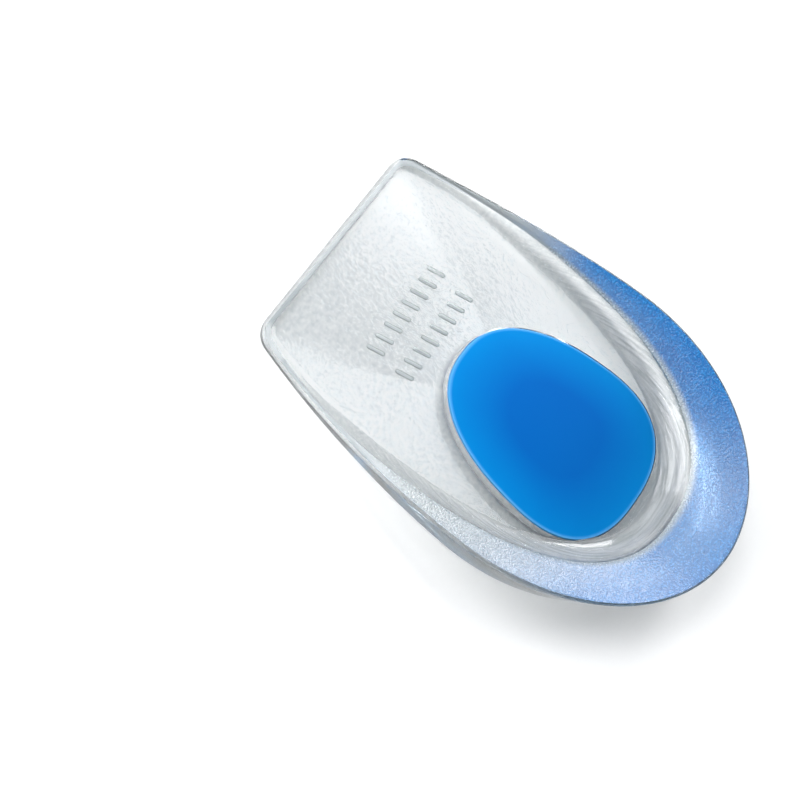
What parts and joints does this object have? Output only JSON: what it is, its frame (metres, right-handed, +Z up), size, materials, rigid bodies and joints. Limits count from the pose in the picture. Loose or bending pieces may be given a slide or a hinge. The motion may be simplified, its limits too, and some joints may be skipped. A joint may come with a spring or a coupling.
{
  "type": "heel cup",
  "caption": "Clear silicone heel cup with a flat sole, a thin square toe edge, a raised rounded heel wall, a frosted blue rim band and an egg-shaped soft blue gel pad.",
  "frame": {"origin": "centre of the bounding box in plan, on the underside of the flat sole", "axes": "+Y along the cup from the square toe edge to the rounded heel, +Z up out of the hollow, X across the cup"},
  "size_m": [0.07, 0.105, 0.019],
  "materials": {
    "clear_silicone": "clear glossy silicone with a frosted, blue-tinted rim band",
    "blue_gel": "smooth satin gel"
  },
  "bodies": {
    "root": {"cup_shell": "clear_silicone", "heel_pad": "blue_gel"}
  },
  "joints": []
}
